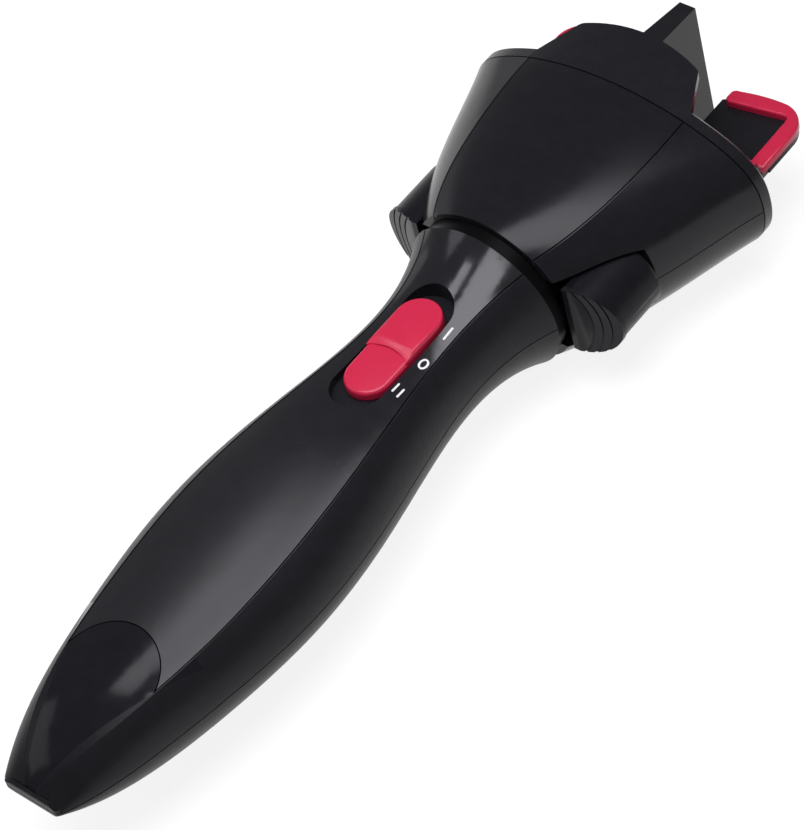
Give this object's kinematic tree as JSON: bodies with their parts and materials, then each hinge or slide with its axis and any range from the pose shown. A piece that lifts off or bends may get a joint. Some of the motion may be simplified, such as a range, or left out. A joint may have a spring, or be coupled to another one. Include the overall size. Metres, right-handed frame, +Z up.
{
  "type": "automatic hair braider",
  "caption": "Battery hair braider with a tapered handle, sliding switch and flared turning head whose side levers open a pair of spinning strand hooks beside a central fin.",
  "frame": {"origin": "centre of the bounding box in plan, at its lowest point (the crown of the head's underside)", "axes": "+Y along the tool from the handle's tail to the tip of the central fin, +Z up through the switch, +X to the right of someone looking along +Y with the switch up"},
  "size_m": [0.0896, 0.262, 0.051],
  "materials": {
    "shell_black": "satin",
    "panel_black": "semi-gloss",
    "neck_black": "gloss",
    "accent_red": "gloss",
    "inner_black": "moulded",
    "acetal_white": "moulded",
    "circuit_board": "lacquered",
    "cell_jacket": "wrapped",
    "contact_steel": "nickel plated",
    "steel": "ground",
    "can_steel": "plated",
    "bronze": "sintered",
    "screw_steel": "black zinc"
  },
  "bodies": {
    "handle": {"handle_upper_shell": "shell_black", "handle_lower_shell": "shell_black", "handle_top_panel": "panel_black", "handle_screws": "screw_steel", "battery_tray": "inner_black", "battery_left": "cell_jacket", "battery_right": "cell_jacket", "tail_contact": "contact_steel", "positive_contact": "contact_steel", "negative_contact": "contact_steel", "switch_board": "circuit_board", "motor": "can_steel", "gearbox_bracket": "acetal_white", "motor_screws": "screw_steel", "ring_gear": "acetal_white", "gearbox_cover": "acetal_white", "neck_bearing": "neck_black", "rear_bush": "bronze", "neck_bush": "bronze"},
    "battery_door": {"battery_door": "shell_black"},
    "switch": {"switch_button": "accent_red", "switch_slider": "inner_black"},
    "motor_rotor": {"motor_shaft": "steel", "motor_pinion": "bronze"},
    "drive": {"planet_carrier": "acetal_white", "drive_shaft": "steel", "sun_gear": "acetal_white"},
    "planet_1": {"planet_gear_1": "acetal_white"},
    "planet_2": {"planet_gear_2": "acetal_white"},
    "planet_3": {"planet_gear_3": "acetal_white"},
    "head": {"head_hub": "inner_black", "neck_clutch_bearing": "steel", "shaft_clutch_bearing": "steel", "gear_plate": "inner_black", "gear_plate_screws": "screw_steel", "head_upper_shell": "shell_black", "head_lower_shell": "shell_black", "head_top_panel": "panel_black", "head_bottom_panel": "panel_black", "head_screws": "screw_steel", "front_cap": "panel_black", "lever_pin_left": "steel", "lever_pin_right": "steel"},
    "lever_left": {"side_lever_left": "shell_black", "lever_spring_left": "steel"},
    "hook_left": {"hook_rotor_left": "shell_black", "hook_gear_left": "acetal_white", "jaw_pin_left": "steel"},
    "push_rod_left": {"push_rod_left": "steel"},
    "jaw_left": {"hook_jaw_left": "accent_red"},
    "lever_right": {"side_lever_right": "shell_black", "lever_spring_right": "steel"},
    "hook_right": {"hook_rotor_right": "shell_black", "hook_gear_right": "acetal_white", "jaw_pin_right": "steel"},
    "push_rod_right": {"push_rod_right": "steel"},
    "jaw_right": {"hook_jaw_right": "accent_red"}
  },
  "joints": [
    {"name": "switch_slide", "type": "slide", "parent": "handle", "child": "switch", "axis": [0, 1, 0], "range_m": [-0.004, 0.004]},
    {"name": "battery_door_slide", "type": "slide", "parent": "handle", "child": "battery_door", "axis": [0, 0, -1], "range_m": [0, 0.03]},
    {"name": "drive_spin", "type": "hinge", "parent": "handle", "child": "drive", "pos_m": [0, 0.034, 0.0255], "axis": [0, 1, 0], "continuous": true},
    {"name": "motor_spin", "type": "hinge", "parent": "handle", "child": "motor_rotor", "pos_m": [0, 0.009, 0.0255], "axis": [0, 1, 0], "continuous": true},
    {"name": "head_spin", "type": "hinge", "parent": "drive", "child": "head", "pos_m": [0, 0.059, 0.0255], "axis": [0, 1, 0], "continuous": true},
    {"name": "planet_1_spin", "type": "hinge", "parent": "drive", "child": "planet_1", "pos_m": [0.0054, 0.032, 0.0255], "axis": [0, 1, 0], "continuous": true},
    {"name": "planet_2_spin", "type": "hinge", "parent": "drive", "child": "planet_2", "pos_m": [-0.0027, 0.032, 0.03018], "axis": [0, 1, 0], "continuous": true},
    {"name": "planet_3_spin", "type": "hinge", "parent": "drive", "child": "planet_3", "pos_m": [-0.0027, 0.032, 0.02082], "axis": [0, 1, 0], "continuous": true},
    {"name": "hook_left_spin", "type": "hinge", "parent": "head", "child": "hook_left", "pos_m": [-0.025, 0.084, 0.0255], "axis": [0, 1, 0], "continuous": true},
    {"name": "lever_left_press", "type": "hinge", "parent": "head", "child": "lever_left", "pos_m": [-0.029, 0.0676, 0.0255], "axis": [0, 0, 1], "range_deg": [0, 8], "stiffness_Nm_per_rad": 0.25, "springref_deg": -5.73},
    {"name": "push_rod_left_slide", "type": "slide", "parent": "hook_left", "child": "push_rod_left", "axis": [0, 1, 0], "range_m": [0, 0.00075]},
    {"name": "jaw_left_open", "type": "hinge", "parent": "hook_left", "child": "jaw_left", "pos_m": [-0.025, 0.1046, 0.0277], "axis": [1, 0, 0], "range_deg": [0, 22.1]},
    {"name": "hook_right_spin", "type": "hinge", "parent": "head", "child": "hook_right", "pos_m": [0.025, 0.084, 0.0255], "axis": [0, 1, 0], "continuous": true},
    {"name": "lever_right_press", "type": "hinge", "parent": "head", "child": "lever_right", "pos_m": [0.029, 0.0676, 0.0255], "axis": [0, 0, -1], "range_deg": [0, 8], "stiffness_Nm_per_rad": 0.25, "springref_deg": -5.73},
    {"name": "push_rod_right_slide", "type": "slide", "parent": "hook_right", "child": "push_rod_right", "axis": [0, 1, 0], "range_m": [0, 0.00075]},
    {"name": "jaw_right_open", "type": "hinge", "parent": "hook_right", "child": "jaw_right", "pos_m": [0.025, 0.1046, 0.0277], "axis": [1, 0, 0], "range_deg": [0, 22.1]}
  ],
  "couplings": [
    {"joint": "motor_spin", "follows": "drive_spin", "ratio": 6},
    {"joint": "planet_1_spin", "follows": "drive_spin", "ratio": -2.5},
    {"joint": "planet_2_spin", "follows": "drive_spin", "ratio": -2.5},
    {"joint": "planet_3_spin", "follows": "drive_spin", "ratio": -2.5},
    {"joint": "hook_left_spin", "follows": "head_spin", "ratio": 1.5},
    {"joint": "push_rod_left_slide", "follows": "lever_left_press", "m_per_rad": 0.0053},
    {"joint": "jaw_left_open", "follows": "lever_left_press", "ratio": 2.75},
    {"joint": "hook_right_spin", "follows": "head_spin", "ratio": 1.5},
    {"joint": "push_rod_right_slide", "follows": "lever_right_press", "m_per_rad": 0.0053},
    {"joint": "jaw_right_open", "follows": "lever_right_press", "ratio": 2.75}
  ]
}
